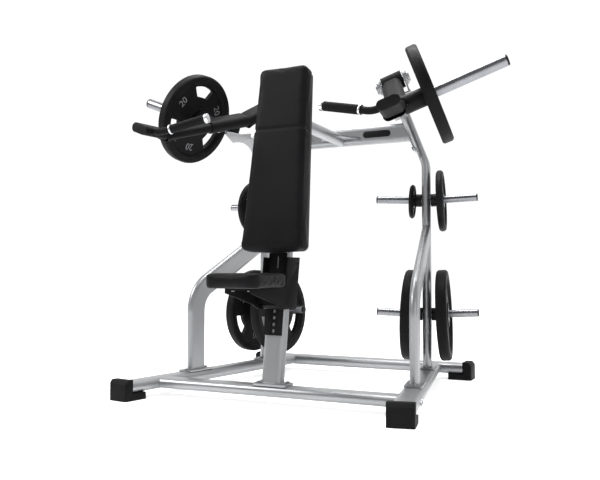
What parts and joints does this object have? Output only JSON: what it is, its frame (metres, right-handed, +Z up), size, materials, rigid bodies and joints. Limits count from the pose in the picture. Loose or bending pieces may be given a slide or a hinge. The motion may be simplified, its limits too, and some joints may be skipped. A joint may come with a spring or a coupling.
{
  "type": "plate-loaded seated press machine",
  "caption": "Free-standing seated press with splayed tube frame, converging lever arms on inclined pivots, load pegs, plate storage, tilted back pad and height-adjustable seat.",
  "frame": {"origin": "floor level under the middle of the outline", "axes": "+X to the sitter's left-hand side seen from the front, +Y to the rear, +Z up"},
  "size_m": [1.8826, 1.473, 1.6003],
  "materials": {
    "silver_paint": "satin silver powder coat",
    "black_paint": "satin black powder coat",
    "steel": "bright zinc-plated steel",
    "chrome": "brushed hard chrome",
    "rubber": "matt black moulded rubber",
    "vinyl": "black grained upholstery vinyl",
    "plywood": "black-faced plywood",
    "plastic": "matt black plastic",
    "aluminium": "satin anodised aluminium",
    "disc_rubber": "rubber-coated cast iron"
  },
  "bodies": {
    "frame": {"rail_right": "silver_paint", "rail_left": "silver_paint", "front_crossbar": "silver_paint", "rear_crossbar": "silver_paint", "front_feet": "rubber", "rear_feet": "rubber", "brace_right": "silver_paint", "brace_left": "silver_paint", "upright_right": "silver_paint", "upright_left": "silver_paint", "base_plates": "silver_paint", "frame_bolts": "steel", "seat_post": "silver_paint", "seat_track": "black_paint", "top_beam": "silver_paint", "beam_flanges": "silver_paint", "pad_boom": "silver_paint", "badge_plate": "plastic", "back_pad_board": "plywood", "back_pad": "vinyl", "pivot_brackets": "silver_paint", "bearing_housings": "silver_paint", "stop_brackets": "silver_paint", "stop_bumpers": "rubber", "storage_pegs": "chrome", "storage_fittings": "plastic"},
    "arm_right": {"arm_right": "black_paint", "arm_caps_right": "plastic", "pivot_shaft_right": "steel", "load_peg_right": "chrome", "load_fittings_right": "plastic", "handle_right": "black_paint", "grip_right": "rubber", "grip_rings_right": "aluminium"},
    "arm_left": {"arm_left": "black_paint", "arm_caps_left": "plastic", "pivot_shaft_left": "steel", "load_peg_left": "chrome", "load_fittings_left": "plastic", "handle_left": "black_paint", "grip_left": "rubber", "grip_rings_left": "aluminium"},
    "arm_disc_right": {"arm_disc_right": "disc_rubber"},
    "lower_outer_disc_right": {"lower_outer_disc_right": "disc_rubber"},
    "lower_inner_disc_right": {"lower_inner_disc_right": "disc_rubber"},
    "upper_outer_disc_right": {"upper_outer_disc_right": "disc_rubber"},
    "upper_inner_disc_right": {"upper_inner_disc_right": "disc_rubber"},
    "arm_disc_left": {"arm_disc_left": "disc_rubber"},
    "lower_outer_disc_left": {"lower_outer_disc_left": "disc_rubber"},
    "lower_inner_disc_left": {"lower_inner_disc_left": "disc_rubber"},
    "upper_outer_disc_left": {"upper_outer_disc_left": "disc_rubber"},
    "upper_inner_disc_left": {"upper_inner_disc_left": "disc_rubber"},
    "seat": {"seat_carriage": "black_paint", "seat_board": "plywood", "seat_pad": "vinyl", "seat_bolts": "steel"},
    "rear_roller": {"rear_roller": "plastic"},
    "front_roller": {"front_roller": "plastic"},
    "pull_pin": {"pull_pin": "plastic"}
  },
  "joints": [
    {"name": "arm_press_right", "type": "hinge", "parent": "frame", "child": "arm_right", "pos_m": [0.29161, 0.411, 1.53], "axis": [-0.92, -0.1589, -0.3584], "range_deg": [0, 40]},
    {"name": "arm_press_left", "type": "hinge", "parent": "frame", "child": "arm_left", "pos_m": [-0.29161, 0.411, 1.53], "axis": [-0.92, 0.1589, 0.3584], "range_deg": [0, 40]},
    {"name": "arm_disc_slide_right", "type": "slide", "parent": "arm_right", "child": "arm_disc_right", "axis": [0.92, 0.1589, 0.3584], "range_m": [0, 0.381]},
    {"name": "lower_outer_disc_slide_right", "type": "slide", "parent": "frame", "child": "lower_outer_disc_right", "axis": [0.9845, 0.17, 0.0436], "range_m": [0, 0.195]},
    {"name": "lower_inner_disc_slide_right", "type": "slide", "parent": "frame", "child": "lower_inner_disc_right", "axis": [-0.9845, -0.17, 0.0436], "range_m": [0, 0.195]},
    {"name": "upper_outer_disc_slide_right", "type": "slide", "parent": "frame", "child": "upper_outer_disc_right", "axis": [0.9845, 0.17, 0.0436], "range_m": [0, 0.195]},
    {"name": "upper_inner_disc_slide_right", "type": "slide", "parent": "frame", "child": "upper_inner_disc_right", "axis": [-0.9845, -0.17, 0.0436], "range_m": [0, 0.195]},
    {"name": "arm_disc_slide_left", "type": "slide", "parent": "arm_left", "child": "arm_disc_left", "axis": [-0.92, 0.1589, 0.3584], "range_m": [0, 0.381]},
    {"name": "lower_outer_disc_slide_left", "type": "slide", "parent": "frame", "child": "lower_outer_disc_left", "axis": [-0.9845, 0.17, 0.0436], "range_m": [0, 0.195]},
    {"name": "lower_inner_disc_slide_left", "type": "slide", "parent": "frame", "child": "lower_inner_disc_left", "axis": [0.9845, -0.17, 0.0436], "range_m": [0, 0.195]},
    {"name": "upper_outer_disc_slide_left", "type": "slide", "parent": "frame", "child": "upper_outer_disc_left", "axis": [-0.9845, 0.17, 0.0436], "range_m": [0, 0.195]},
    {"name": "upper_inner_disc_slide_left", "type": "slide", "parent": "frame", "child": "upper_inner_disc_left", "axis": [0.9845, -0.17, 0.0436], "range_m": [0, 0.195]},
    {"name": "seat_height", "type": "slide", "parent": "frame", "child": "seat", "axis": [0, 0.1495, 0.9888], "range_m": [-0.1415, 0]},
    {"name": "rear_roller_spin", "type": "hinge", "parent": "seat", "child": "rear_roller", "pos_m": [0, -0.23877, 0.59514], "axis": [1, 0, 0], "range_deg": [-500, 1]},
    {"name": "front_roller_spin", "type": "hinge", "parent": "seat", "child": "front_roller", "pos_m": [0, -0.36754, 0.41639], "axis": [1, 0, 0], "range_deg": [-1, 500]},
    {"name": "pull_pin_travel", "type": "slide", "parent": "seat", "child": "pull_pin", "axis": [0, -0.9888, 0.1495], "range_m": [-0.008, 0]}
  ],
  "couplings": [
    {"joint": "rear_roller_spin", "follows": "seat_height", "rad_per_m": 61.35},
    {"joint": "front_roller_spin", "follows": "seat_height", "rad_per_m": -61.35}
  ]
}
